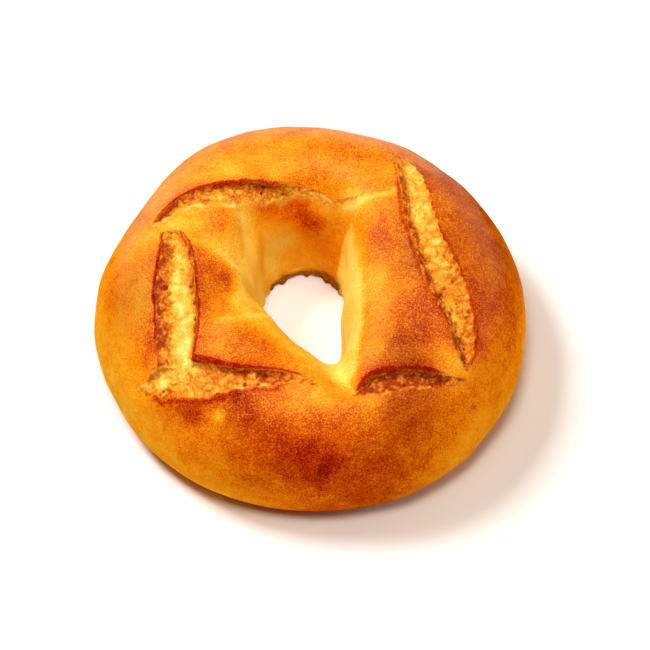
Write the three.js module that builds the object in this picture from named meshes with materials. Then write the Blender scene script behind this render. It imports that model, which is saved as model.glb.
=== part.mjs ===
// A ring-shaped bread roll with five open splits in its crust, as one closed solid.
// Millimetres, +Z up. The origin is on the floor, under the middle of the ring,
// and +X runs along the longest way across it.
//
// The roll is a torus whose cross-section changes round the ring. Every vertex of a
// TorusGeometry is first placed on that section, then pushed in or out along the
// section's normal by the splits and folds, which are curves seen from above.

import * as THREE from 'three';
import { mergeVertices } from 'three/addons/utils/BufferGeometryUtils.js';
import { ImprovedNoise } from 'three/addons/math/ImprovedNoise.js';

// --- The ring, every 30 degrees counter-clockwise from +X ---

const rimRadius = [57.8, 57.2, 56.1, 55.6, 58.1, 55.8, 57.9, 57.3, 56.4, 55.8, 57.4, 58.2];
const holeRadius = [9, 10.4, 17.6, 22.8, 21.2, 15.6, 13.9, 10.8, 11.5, 15, 13.6, 9.4];
const crestHeight = [39.5, 39.5, 40, 40, 40, 40, 40, 39.5, 39, 39, 39, 39.5];
// Where the crest lies, as a share of the way from the hole to the rim.
const crestShare = [0.38, 0.4, 0.42, 0.38, 0.38, 0.42, 0.46, 0.48, 0.5, 0.5, 0.5, 0.44];
// How round the shoulder above the hole is: 1 is an ellipse, less is squarer.
const shoulderRoundness = [0.52, 0.6, 0.8, 0.85, 0.85, 0.8, 0.8, 0.8, 0.85, 0.9, 0.8, 0.55];

const rimRoundness = 0.95;
const rimHeight = 13; // height of the widest line round the outside
const waistHeight = 9; // height of the narrowest line round the hole
const rimTuck = 0.3; // how far the outside curls in under the roll, as a share
const waistTuck = 0.08;
const footShare = 0.72; // sine of the section angle at which the flat base begins

// --- The splits: a path seen from above, each point [x, y, width] ---
// Depths, walls and lips are given for the rim's side and for the hole's side.

const splits = [
  {
    path: [[-42, 13.5, 0.7], [-35, 19, 4.2], [-25, 22, 6.3], [-15, 24.5, 5.2], [-4, 27, 2.3],
      [6, 24, 1.1], [16.5, 23, 1.1], [24, 25, 0.8]],
    rim: { depth: 2.4, wall: 2, lip: 0.7 },
    hole: { depth: 0.7, wall: 2.4, lip: 0.1 },
    fullWidth: 2.6,
  },
  {
    path: [[23.5, 36.5, 1], [26, 30.5, 5.4], [28, 20.5, 7.5], [30.5, 10.5, 8.2], [33.5, 0.5, 9.8],
      [37.5, -11, 9.4], [39.5, -21.5, 6.4], [40.5, -29, 0.8]],
    rim: { depth: 1.5, wall: 2, lip: 0.4 },
    hole: { depth: 2.8, wall: 2.4, lip: 0.4 },
    fullWidth: 4,
  },
  {
    path: [[-36, 12, 1], [-35.5, 6.5, 6.6], [-35, -3, 9.8], [-34.5, -14, 11.2],
      [-34.5, -26, 9.8], [-34, -32.5, 7]],
    rim: { depth: 3, wall: 3.2, lip: 0.5 },
    hole: { depth: 1.7, wall: 2.2, lip: 0.4 },
    fullWidth: 5,
  },
  {
    path: [[-45.5, -30.5, 0.6], [-38.5, -31.5, 5.6], [-29.5, -33, 9.6], [-19, -34.5, 7.1],
      [-10, -35, 4.6], [2, -36.5, 0.8]],
    rim: { depth: 0.9, wall: 2.2, lip: 0.5 },
    hole: { depth: 2.6, wall: 2.2, lip: 0.7 },
    fullWidth: 3,
  },
  {
    path: [[11, -38.5, 0.8], [15.5, -36.5, 5], [23, -35, 5.2], [32.5, -33.5, 3.4], [40.5, -31, 0.7]],
    rim: { depth: 0.8, wall: 2, lip: 0 },
    hole: { depth: 3, wall: 2, lip: 0.8 },
    fullWidth: 3,
  },
];
const lipReach = 2.6; // how far from a split its lip fades out

// --- The folds between the plump pieces round the hole ---
// step is how much higher the dough stands on the left of the path than on its right.

const folds = [
  { path: [[-36, 10], [-25, 5.5], [-15, 3.5]], depth: 0.8, width: 2, step: -2.2, end: 0.12 },
  { path: [[-26, -16.5], [-18, -15], [-10, -10]], depth: 0.8, width: 2, step: -2.2, end: 0.12 },
  { path: [[12.5, 26.5], [11.5, 20.5], [8.5, 9]], depth: 0.6, width: 2, step: 2, end: 0.3 },
  { path: [[-15, 23.5], [-12.5, 20], [-8, 13]], depth: 1.3, width: 2.6, step: 0, end: 0.1 },
  { path: [[12.5, -41.5], [8.5, -33], [4, -14.5]], depth: 5.2, width: 4.4, step: 0, end: 0 },
];
const stepReach = 6;
const stepSoftness = 0.9;

// --- The foot that spread a little on the baking tray ---

const footLip = { out: 0.9, height: 2.6 };

// --- Unevenness of the dough ---

const swell = { size: 14, height: 0.5 };

// --- Facets ---

const ringSteps = 104;
const sectionSteps = 47;
const sectionSamples = 720;
const pathSteps = 40;
// How closely the facets sit along a section: on the flat base, at the foot, elsewhere
// up the sides, and over the top where the splits are.
const crowding = { base: 0.4, foot: 1.8, side: 1, top: 3 };

function rise(from, to, value) {
  return THREE.MathUtils.smoothstep(value, from, to);
}

// Catmull-Rom spline through four values, at t between the middle two.
function spline(a, b, c, d, t) {
  const linear = c - a;
  const square = 2 * a - 5 * b + 4 * c - d;
  const cube = 3 * b - a - 3 * c + d;
  return 0.5 * (2 * b + linear * t + square * t * t + cube * t * t * t);
}

// A value given round the ring, read at any angle.
function aroundRing(values, angle) {
  const count = values.length;
  const turn = ((angle / (2 * Math.PI)) % 1 + 1) % 1;
  const place = turn * count;
  const index = Math.floor(place);
  const at = (step) => values[(index + step + count) % count];
  return spline(at(-1), at(0), at(1), at(2), place - index);
}

// The ring's cross-section at an angle: radius and height where the section angle is
// 0 at the rim, a quarter turn at the crest and a half turn at the hole.
function sectionPoint(ringAngle, sectionAngle) {
  const rim = aroundRing(rimRadius, ringAngle);
  const hole = aroundRing(holeRadius, ringAngle);
  const crest = hole + (rim - hole) * aroundRing(crestShare, ringAngle);
  const cosine = Math.cos(sectionAngle);
  const sine = Math.sin(sectionAngle);
  const onRimSide = cosine >= 0;
  const reach = onRimSide ? rim - crest : hole - crest;
  const sideHeight = onRimSide ? rimHeight : waistHeight;
  if (sine >= 0) {
    const roundness = onRimSide ? rimRoundness : aroundRing(shoulderRoundness, ringAngle);
    const climb = aroundRing(crestHeight, ringAngle) - sideHeight;
    return {
      radius: crest + reach * Math.abs(cosine) ** roundness,
      height: sideHeight + climb * sine ** roundness,
    };
  }
  const down = Math.min(-sine / footShare, 1);
  const tuck = (onRimSide ? rimTuck : waistTuck) * (1 - Math.cos(down * Math.PI / 2));
  const flat = -sine > footShare ? Math.abs(cosine) / Math.sqrt(1 - footShare ** 2) : 1;
  return {
    radius: crest + reach * (1 - tuck) * flat,
    height: sideHeight * (1 - Math.sin(down * Math.PI / 2)),
  };
}

// Points along a path, with the width carried as the third value where there is one.
function samplePath(path) {
  const size = path[0].length;
  const before = path[0].map((value, k) => 2 * value - path[1][k]);
  const after = path.at(-1).map((value, k) => 2 * value - path.at(-2)[k]);
  const points = [before, ...path, after];
  const sampled = [];
  for (let i = 0; i <= pathSteps; i += 1) {
    const place = (path.length - 1) * i / pathSteps;
    const index = Math.min(Math.floor(place), path.length - 2);
    const around = points.slice(index, index + 4);
    const point = [];
    for (let k = 0; k < size; k += 1) {
      point.push(spline(...around.map((p) => p[k]), place - index));
    }
    sampled.push(point);
  }
  return sampled;
}

// The nearest place on a sampled path: distance, signed distance to its left and to the
// hole's side, share of the path's length, width there, and whether it is past an end.
function nearestOnPath(points, x, y) {
  let best = { distance: Infinity };
  for (let i = 0; i < pathSteps; i += 1) {
    const [ax, ay, aw = 0] = points[i];
    const [bx, by, bw = 0] = points[i + 1];
    const dx = bx - ax;
    const dy = by - ay;
    const along = ((x - ax) * dx + (y - ay) * dy) / (dx * dx + dy * dy);
    const share = THREE.MathUtils.clamp(along, 0, 1);
    const distance = Math.hypot(x - ax - dx * share, y - ay - dy * share);
    if (distance < best.distance) {
      const left = Math.sign(dx * (y - ay) - dy * (x - ax));
      const holeIsLeft = Math.sign(dy * ax - dx * ay);
      best = {
        distance,
        left: distance * left,
        towardsHole: distance * left * holeIsLeft,
        share: (i + share) / pathSteps,
        width: Math.max(aw + (bw - aw) * share, 0),
        past: (i === 0 && along < 0) || (i === pathSteps - 1 && along > 1),
      };
    }
  }
  return best;
}

const sampledSplits = splits.map((split) => ({ ...split, points: samplePath(split.path) }));
const sampledFolds = folds.map((fold) => ({ ...fold, points: samplePath(fold.path) }));

// How far the splits and their lips move the top of the crust, out being positive.
function splitRelief(x, y) {
  let depth = 0;
  let opened = 0;
  let lips = 0;
  for (const { rim, hole, fullWidth, points } of sampledSplits) {
    const near = nearestOnPath(points, x, y);
    const half = near.width / 2;
    const fromRim = near.past ? -near.distance : half + near.towardsHole;
    const fromHole = near.past ? -near.distance : half - near.towardsHole;
    const across = THREE.MathUtils.clamp(fromRim / Math.max(near.width, 0.05), 0, 1);
    const walls = rise(0, rim.wall, fromRim) * rise(0, hole.wall, fromHole);
    const floor = THREE.MathUtils.lerp(rim.depth, hole.depth, across);
    depth = Math.max(depth, floor * walls * rise(0.3, fullWidth, near.width));
    opened = Math.max(opened, walls);
    const outside = Math.max(near.distance - half, 0);
    const lip = THREE.MathUtils.lerp(rim.lip, hole.lip, rise(-1.5, 1.5, near.towardsHole));
    lips += lip * Math.exp(-((outside / lipReach) ** 2)) * rise(1, 4.5, near.width);
  }
  return lips * (1 - opened) - depth;
}

// How far the folds move the crust.
function foldRelief(x, y) {
  let total = 0;
  for (const { depth, width, step, end, points } of sampledFolds) {
    const near = nearestOnPath(points, x, y);
    const fade = rise(0, 0.3, near.share) * (end > 0 ? rise(0, end, 1 - near.share) : 1);
    const side = rise(-stepSoftness, stepSoftness, near.left) - 0.5;
    total -= depth * fade * Math.exp(-((near.left / width) ** 2));
    total += step * side * fade * Math.exp(-((near.left / stepReach) ** 2));
  }
  return total;
}

function crowdingAt(height) {
  if (height < 0.01) {
    return crowding.base;
  }
  const foot = (crowding.foot - crowding.side) * (1 - rise(3, 8, height));
  const top = (crowding.top - crowding.side) * rise(20, 32, height);
  return crowding.side + foot + top;
}

// Section angles that space the facets by length, closer where there is more to show.
function sectionAngles(ringAngle) {
  const angles = [];
  const travelled = [];
  let last = null;
  for (let i = 0; i <= sectionSamples; i += 1) {
    const angle = -Math.PI / 2 + 2 * Math.PI * i / sectionSamples;
    const point = sectionPoint(ringAngle, angle);
    let length = 0;
    if (last) {
      const step = Math.hypot(point.radius - last.radius, point.height - last.height);
      length = travelled[i - 1] + step * crowdingAt((point.height + last.height) / 2);
    }
    angles.push(angle);
    travelled.push(length);
    last = point;
  }
  const chosen = [];
  let i = 1;
  for (let k = 0; k < sectionSteps; k += 1) {
    const target = travelled[sectionSamples] * k / sectionSteps;
    while (travelled[i] < target) {
      i += 1;
    }
    const share = (target - travelled[i - 1]) / (travelled[i] - travelled[i - 1]);
    chosen.push(angles[i - 1] + (angles[i] - angles[i - 1]) * share);
  }
  return chosen;
}

const noise = new ImprovedNoise();

// The finished surface at a ring angle and a section angle.
function crustPoint(ringAngle, sectionAngle) {
  const place = (ringTurn, sectionTurn) => {
    const { radius, height } = sectionPoint(ringAngle + ringTurn, sectionAngle + sectionTurn);
    const angle = ringAngle + ringTurn;
    return new THREE.Vector3(radius * Math.cos(angle), radius * Math.sin(angle), height);
  };
  const nudge = 0.003;
  const point = place(0, 0);
  const alongRing = place(nudge, 0).sub(place(-nudge, 0));
  const alongSection = place(0, nudge).sub(place(0, -nudge));
  const normal = alongRing.cross(alongSection).normalize();

  const { x, y, z } = point;
  const above = rise(2, 8, z);
  let push = swell.height * above * noise.noise(x / swell.size, y / swell.size, z / swell.size);
  if (Math.sin(sectionAngle) > 0) {
    push += rise(12, 22, z) * splitRelief(x, y);
    push += rise(8, 16, z) * foldRelief(x, y);
  }
  point.addScaledVector(normal, push);

  const onHoleSide = Math.cos(sectionAngle) < 0;
  if (onHoleSide && z > 0.01) {
    const spread = footLip.out * Math.exp(-((z / footLip.height) ** 2));
    const inwards = new THREE.Vector3(-x, -y, 0).normalize();
    point.addScaledVector(inwards, spread);
  }
  return point;
}

// Split every four-sided facet along its shorter diagonal. TorusGeometry lists each one
// as the triangles a b d and b c d.
function useShorterDiagonals(geometry) {
  const { position } = geometry.attributes;
  const { array } = geometry.index;
  const corner = (index) => new THREE.Vector3().fromBufferAttribute(position, index);
  for (let i = 0; i < array.length; i += 6) {
    const [a, b, d, , c] = array.slice(i, i + 6);
    const kept = corner(b).distanceTo(corner(d));
    const other = corner(a).distanceTo(corner(c));
    if (other < kept) {
      array.set([a, b, c, a, c, d], i);
    }
  }
}

function breadRingGeometry() {
  const guideRadius = 2;
  const guideTube = 1;
  const torus = new THREE.TorusGeometry(guideRadius, guideTube, sectionSteps, ringSteps);
  torus.deleteAttribute('normal');
  torus.deleteAttribute('uv');
  const geometry = mergeVertices(torus, 1e-3);
  const position = geometry.attributes.position;
  const sections = [];
  for (let i = 0; i < ringSteps; i += 1) {
    sections.push(sectionAngles(2 * Math.PI * i / ringSteps));
  }
  for (let v = 0; v < position.count; v += 1) {
    const x = position.getX(v);
    const y = position.getY(v);
    const z = position.getZ(v);
    const ringTurn = Math.atan2(y, x) / (2 * Math.PI);
    const sectionTurn = Math.atan2(z, Math.hypot(x, y) - guideRadius) / (2 * Math.PI);
    const i = Math.round(ringTurn * ringSteps + ringSteps) % ringSteps;
    const k = Math.round(sectionTurn * sectionSteps + sectionSteps) % sectionSteps;
    const point = crustPoint(2 * Math.PI * i / ringSteps, sections[i][k]);
    position.setXYZ(v, point.x, point.y, point.z);
  }
  useShorterDiagonals(geometry);
  geometry.computeVertexNormals();
  return geometry;
}

const crust = new THREE.MeshStandardMaterial({
  name: 'baked_crust',
  color: 0xd98a35,
  roughness: 0.55,
  metalness: 0,
});

const breadRing = new THREE.Mesh(breadRingGeometry(), crust);
breadRing.name = 'bread_ring';

const roll = new THREE.Group();
roll.name = 'ring_bread_roll';
roll.add(breadRing);

export default roll;
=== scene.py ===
# Ring-shaped bread roll: egg-washed crust, five open splits, plump pieces round the hole.
# Shapes are worked out in millimetres and put into the mesh in metres.
import math
import time

import bmesh
import bpy
import numpy as np
from mathutils import Matrix, Vector, noise


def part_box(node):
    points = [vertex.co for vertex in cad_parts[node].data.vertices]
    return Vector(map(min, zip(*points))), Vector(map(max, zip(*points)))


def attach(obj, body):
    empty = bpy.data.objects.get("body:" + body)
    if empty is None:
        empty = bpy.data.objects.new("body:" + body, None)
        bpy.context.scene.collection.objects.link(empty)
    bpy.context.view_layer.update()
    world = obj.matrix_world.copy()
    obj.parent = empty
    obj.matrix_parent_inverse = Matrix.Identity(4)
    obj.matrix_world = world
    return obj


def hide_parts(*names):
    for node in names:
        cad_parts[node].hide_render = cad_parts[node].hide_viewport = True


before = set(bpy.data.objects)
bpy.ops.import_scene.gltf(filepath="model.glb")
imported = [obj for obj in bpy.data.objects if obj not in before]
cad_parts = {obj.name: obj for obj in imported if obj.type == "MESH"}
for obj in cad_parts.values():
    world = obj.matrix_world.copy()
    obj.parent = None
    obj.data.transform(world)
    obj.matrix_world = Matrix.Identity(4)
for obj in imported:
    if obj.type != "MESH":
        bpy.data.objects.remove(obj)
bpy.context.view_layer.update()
startTime = time.time()
mm = 0.001
fullTurn = 2 * math.pi


def report(stage):
    print(f"{time.time() - startTime:6.1f} s  {stage}")


def rise(low, high, value):
    t = np.clip((value - low) / (high - low), 0, 1)
    return t * t * (3 - 2 * t)


def hump(value, reach):
    return np.exp(-(value / reach) ** 2)


def mix(a, b, share):
    return a + (b - a) * share


def degreesApart(angles, middle):
    return np.abs((angles - middle + 180) % 360 - 180)


def spline(a, b, c, d, t):
    # Catmull-Rom between b and c
    square = 2 * a - 5 * b + 4 * c - d
    cube = 3 * b - a - 3 * c + d
    return 0.5 * (2 * b + (c - a) * t + square * t * t + cube * t * t * t)


def noiseAt(points, size, shift=0.0):
    # smooth noise, about -1 to 1, with lumps of the given size
    scaled = points / size + shift
    return np.array([noise.noise(p) for p in scaled.tolist()])


def poresAt(points, size, shift=0.0):
    # 1 in the middle of each cell, 0 between cells
    scaled = points / size + shift
    nearest = np.array([noise.voronoi(p)[0][0] for p in scaled.tolist()])
    return 1 - rise(0.1, 0.42, nearest)


roll = {
    # lists run every 30 degrees, counter-clockwise from +X seen from above;
    # the rim radii are fitted to the roll's outline
    "rimRadius": [57.8, 57.2, 56.1, 55.6, 58.1, 55.8, 57.9, 57.3, 56.4, 55.8, 57.4, 58.2],
    "holeRadius": [9, 10.4, 17.6, 22.8, 21.2, 15.6, 13.9, 10.8, 11.5, 15, 13.6, 9.4],
    "crestHeight": [39.5, 39.5, 40, 40, 40, 40, 40, 39.5, 39, 39, 39, 39.5],
    "crestShare": [0.38, 0.4, 0.42, 0.38, 0.38, 0.42, 0.46, 0.48, 0.5, 0.5, 0.5, 0.44],
    "shoulderRoundness": [0.52, 0.6, 0.8, 0.85, 0.85, 0.8, 0.8, 0.8, 0.85, 0.9, 0.8, 0.55],
    "rimRoundness": 0.95,
    "rimHeight": 13,  # the widest line round the outside
    "waistHeight": 9,  # the narrowest line round the hole
    "rimTuck": 0.3,  # curl under the roll, as a share of the reach
    "waistTuck": 0.08,
    "footShare": 0.72,  # sine of the section angle where the flat base begins
    "ringSteps": 288,
    "sectionSteps": 128,
    "crowding": {"base": 0.35, "foot": 1.2, "side": 1.0, "top": 1.9},
    # middle, span, from and to are in degrees round the ring
    "footLip": {"out": 1.1, "height": 2.6, "groove": 0.4, "grooveWidth": 0.9, "middle": 120,
                "span": (75, 115)},
    "dryFoot": {"from": 60, "to": 128, "heights": [6, 3.2, 2.6]},
    "swell": {"size": 14, "height": 0.5},
    "dimples": {"size": 5, "height": 0.12},
    "peel": {"size": 1.6, "height": 0.05},
    "fineReach": 2.7,  # how far round the splits the mesh is made finer, once
    "finestReach": 0.5,  # and twice
}

# Path points are x, y and the width of the opening. On each side, wall is how wide the slope
# down is, lip how far the crust lifts beside it, over how far it hangs over, ragged how torn
# the edge is and soft how wide the change from crust to crumb is. Dark is how much of the edge
# is scorched, burn how hard, line how wide that line is and lineAt how far out it lies. Tone is
# how toasted the crumb is, from 0 to 1, and toneReach how far in. At fullWidth a split is open
# to its full depth. Lists run evenly along the path.
splits = {
    "far": {
        "path": [(-42, 13.5, 0.7), (-39.5, 15.5, 2.6), (-35, 19, 4.2), (-30, 21, 5.8), (-25, 22, 6.3),
                 (-20, 22.5, 6.8), (-15, 24.5, 5.2), (-9, 26, 3.3), (-4, 27, 1.8), (1.5, 26.5, 1.2),
                 (6, 24, 1.1), (11, 23, 1), (16.5, 23, 1.1), (22, 24, 1), (24, 25, 0.8)],
        "rim": {"depth": 1.2, "wall": 1.6, "lip": 0.7, "over": 0.2, "ragged": 0.45, "soft": 0.3,
                "dark": [0.5, 1.1, 1.0, 0.8, 0.7, 0.4, 0.4, 0.4], "burn": 0.97,
                "line": [0.6, 0.8, 0.6, 0.4], "lineAt": 0.15,
                "tone": [0.8, 0.72, 0.55, 0.45], "toneReach": 3.0},
        "hole": {"depth": 0.5, "wall": 2.4, "lip": 0.1, "over": 0.0, "ragged": 1.3, "soft": 1.6,
                 "dark": [0], "burn": 0.6, "line": [0.5], "lineAt": 0.0,
                 "tone": [0.15, 0.2, 0.3], "toneReach": 1.5},
        "tone": [0.5, 0.55, 0.5], "fullWidth": 2.6,
    },
    "right": {
        "path": [(23.5, 36.5, 1), (24.5, 34, 3.2), (26, 30.5, 5.4), (27.5, 25.5, 6.9), (28, 20.5, 7.5),
                 (29, 15, 8.1), (30.5, 10.5, 8.2), (32, 5, 9), (33.5, 0.5, 9.8), (35.5, -5, 10.4),
                 (37.5, -11, 9.4), (39, -17, 7.6), (39.5, -21.5, 6.4), (40, -25, 4.6), (40.5, -29, 0.8)],
        "rim": {"depth": 1.3, "wall": 1.3, "lip": 0.4, "over": 0.3, "ragged": 1.1, "soft": 0.5,
                "dark": [0.1, 0.5, 0.7, 1.1, 1.1], "burn": 0.88, "line": [0.35, 0.6], "lineAt": 0.2,
                "tone": [0.2, 0.3, 0.55, 0.75], "toneReach": 2.6},
        "hole": {"depth": 1.6, "wall": 3.2, "lip": 0.4, "over": 0.1, "ragged": 0.4, "soft": 0.4,
                 "dark": [0.7, 0.85, 0.85, 0.6, 0.5], "burn": 0.82,
                 "line": [0.3, 0.6, 0.8, 0.5, 0.3], "lineAt": 0.6,
                 "tone": [0.6, 0.65, 0.75, 0.8, 0.75], "toneReach": 4.8},
        "tone": [0.1, 0.22, 0.42, 0.5, 0.6], "fullWidth": 4,
    },
    "left": {
        "path": [(-36, 10.5, 4.4), (-36, 8.5, 6), (-35.5, 5, 7.6), (-35, 1, 8.8), (-35, -3, 9.8),
                 (-35, -8, 10.8), (-34.5, -14, 11.2), (-34.5, -20, 10.8), (-34.5, -26, 9.8), (-34, -34, 7)],
        "rim": {"depth": 2.1, "wall": 4.4, "lip": 0.5, "over": 0.15, "ragged": 0.5, "soft": 0.3,
                "dark": [0.6, 1.0, 1.1, 1.1, 1.0, 0.5, 0], "burn": 0.98, "line": [0.55], "lineAt": 0.3,
                "tone": [0.65, 0.82, 0.88, 0.88, 0.88, 0.9, 0.75], "toneReach": 5.6},
        "hole": {"depth": 1.5, "wall": 1.0, "lip": 0.5, "over": 0.1, "ragged": 0.3, "soft": 0.3,
                 "dark": [0.9, 1.1, 1.0], "burn": 0.95, "line": [0.32, 0.35, 0.45], "lineAt": 0.25,
                 "tone": [0.7, 0.8], "toneReach": 2.4},
        "tone": [0.22, 0.2, 0.2, 0.12], "fullWidth": 5,
    },
    "near": {
        "path": [(-45.5, -30.5, 0.6), (-43, -31, 1.7), (-41.5, -31.5, 3.6), (-38.5, -31.5, 6.4),
                 (-33.5, -32.5, 8.2), (-29.5, -33.5, 8.8), (-24, -34.5, 7.7), (-19, -35, 6.5),
                 (-15, -35, 5.6), (-10, -35, 4.6), (-6, -35, 3.5), (-2.5, -35.5, 2.2), (2, -36.5, 0.8)],
        # on the rim side the scorched line lies just outside the torn flap: partly browned crust, partly
        # painted shade under the raised flap
        "rim": {"depth": 0.8, "wall": 1.0, "lip": 0.7, "over": 0.5, "ragged": 0.9, "soft": 0.4,
                "dark": [0, 0.2, 1.2, 1.3, 0.9, 0.5, 0.1], "burn": 0.92,
                "line": [0.5, 0.7, 0.4], "lineAt": 0.8,
                "tone": [0.9, 0.6, 0.48, 0.42, 0.45], "toneReach": 2.6},
        "hole": {"depth": 1.3, "wall": 1.8, "lip": 0.7, "over": 0.15, "ragged": 0.25, "soft": 0.3,
                 "dark": [0.6, 0.2, 0.8, 1.2, 1.1, 1.0, 1.0], "burn": 1.0,
                 "line": [0.4, 0.5, 1.4, 0.95, 0.65, 0.45, 0.4], "lineAt": 0.45,
                 "tone": [0.4, 0.4, 0.3, 0.1, 0.66, 0.72, 0.7, 0.66, 0.6], "toneReach": 4.8},
        "tone": [0.4, 0.22, 0.55, 0.6, 0.5], "fullWidth": 6.5,
    },
    "short": {
        "path": [(11, -38.5, 0.8), (12.5, -38, 2.1), (15.5, -36.5, 5), (18.5, -36, 5.7), (23, -35, 5.2),
                 (28, -34, 4.6), (32.5, -33.5, 3.4), (37.5, -32, 1.4), (40.5, -31, 0.7)],
        "rim": {"depth": 0.7, "wall": 1.4, "lip": 0.0, "over": 0.0, "ragged": 1.2, "soft": 1.2,
                "dark": [0.1], "burn": 0.7, "line": [0.5], "lineAt": 0.0,
                "tone": [0.7], "toneReach": 1.2},
        "hole": {"depth": 1.5, "wall": 1.9, "lip": 0.8, "over": 0.15, "ragged": 0.2, "soft": 0.3,
                 "dark": [1.0, 1.1, 1.1, 0.9, 0.7], "burn": 1.02, "line": [0.85, 0.9, 0.6], "lineAt": 0.5,
                 "tone": [0.74], "toneReach": 3.6},
        "tone": [0.88, 0.9], "fullWidth": 3,
    },
}

# how the edges of the splits tore and lifted
tearing = {
    "coarse": {"size": 3.4, "amount": 0.7},
    "fine": {"size": 1.3, "amount": 0.5},
    "narrowShare": 0.35,  # of the raggedness, left where a split is narrow
    "lipReach": 2.6,
    "lipBakeReach": 3.0,
    "lineBreaks": {"size": 4.5, "level": 0.75, "amount": 0.45},  # gaps in the scorched line
    "lineFade": 0.04,  # share of the path over which that line fades at its ends
}

# Folds between the plump pieces. Step is how much higher the dough stands on the left of the
# path than on its right, ridge a narrow raised edge on the higher side, fade the shares of the
# path over which the fold starts and ends, and pale how much paler it is: dough that browned less
# in the fold, and along a ridge partly a painted highlight on its edge.
folds = {
    "farLeft": {"path": [(-36, 10), (-31.5, 7.5), (-28, 7), (-25, 5.5), (-22.5, 4.5), (-19.5, 3.5),
                         (-15, 3.5)],
                "depth": 0.7, "width": 1.6, "step": -2.2, "ridge": 0.45, "fade": (0.25, 0.12), "pale": 0.3},
    "nearLeft": {"path": [(-26, -16.5), (-22, -16), (-18, -15), (-14.5, -13), (-10, -10)],
                 "depth": 0.7, "width": 1.6, "step": -2.2, "ridge": 0.45, "fade": (0.3, 0.12), "pale": 0.32},
    "farRight": {"path": [(12.5, 26.5), (11.5, 20.5), (10, 14.5), (8.5, 9)],
                 "depth": 0.5, "width": 1.8, "step": 2.0, "ridge": 0.1, "fade": (0.6, 0.3), "pale": 0.2},
    "farHollow": {"path": [(-19.5, 20.5), (-17.5, 17), (-15.5, 11.5), (-12.5, 7)],
                  "depth": 0.6, "width": 2.6, "step": 0.0, "ridge": 0.0, "fade": (0.3, 0.1), "pale": 0.2},
    "farDent": {"path": [(-15, 23.5), (-12.5, 20), (-10.5, 16.5), (-8, 13)],
                "depth": 1.3, "width": 2.6, "step": 0.0, "ridge": 0.0, "fade": (0.5, 0.1), "pale": 0.1},
    "nearRight": {"path": [(12.5, -41.5), (11.5, -37.5), (8.5, -33), (6, -26.5), (4, -14.5)],
                  "depth": 5.2, "width": 4.4, "step": 0.0, "ridge": 0.0, "fade": (0.35, 0), "pale": 0.25},
}
foldShape = {"stepReach": 6, "stepSoftness": 0.9, "ridgeWidth": 0.9, "paleReach": 8}

# torn crumb inside the splits; the darkening given for clumps, grains and pores is painted shade
# in the hollows between them and in the pores
crumb = {
    "clumps": {"size": 2.0, "height": 0.4, "toast": 0.55},
    "grains": {"size": 0.8, "height": 0.3, "toast": 0.45},
    "dust": {"size": 0.4, "height": 0.12},
    "pores": {"size": 2.4, "depth": 0.7, "toast": 0.6, "where": 4.0},
    "mottling": {"size": 3.4, "amount": 0.26},
}

# how browned the crust is: 0 is pale dough, 1 is scorched
baking = {
    "level": 0.57,
    "clouds": [{"size": 16, "amount": 0.07, "shift": 2.2}, {"size": 6, "amount": 0.07, "shift": 4.4},
               {"size": 2.2, "amount": 0.04, "shift": 6.6}],
    "streaks": {"size": 1.6, "amount": 0.05, "radius": 30, "drop": 5},
    "lowSide": {"amount": 0.13, "heights": (10, 26)},  # the side near the tray baked less
    "lip": 0.14,
    "foot": 0.74,
    "base": 0.7,
    "edgeWobble": {"size": 3.2, "bake": 0.06, "shift": 0.5},
    "glazeInHole": (32, 38),  # heights between which the egg wash begins
    "glazeHeights": (26, 36),
    "glazeRadii": (44, 53),
}

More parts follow.
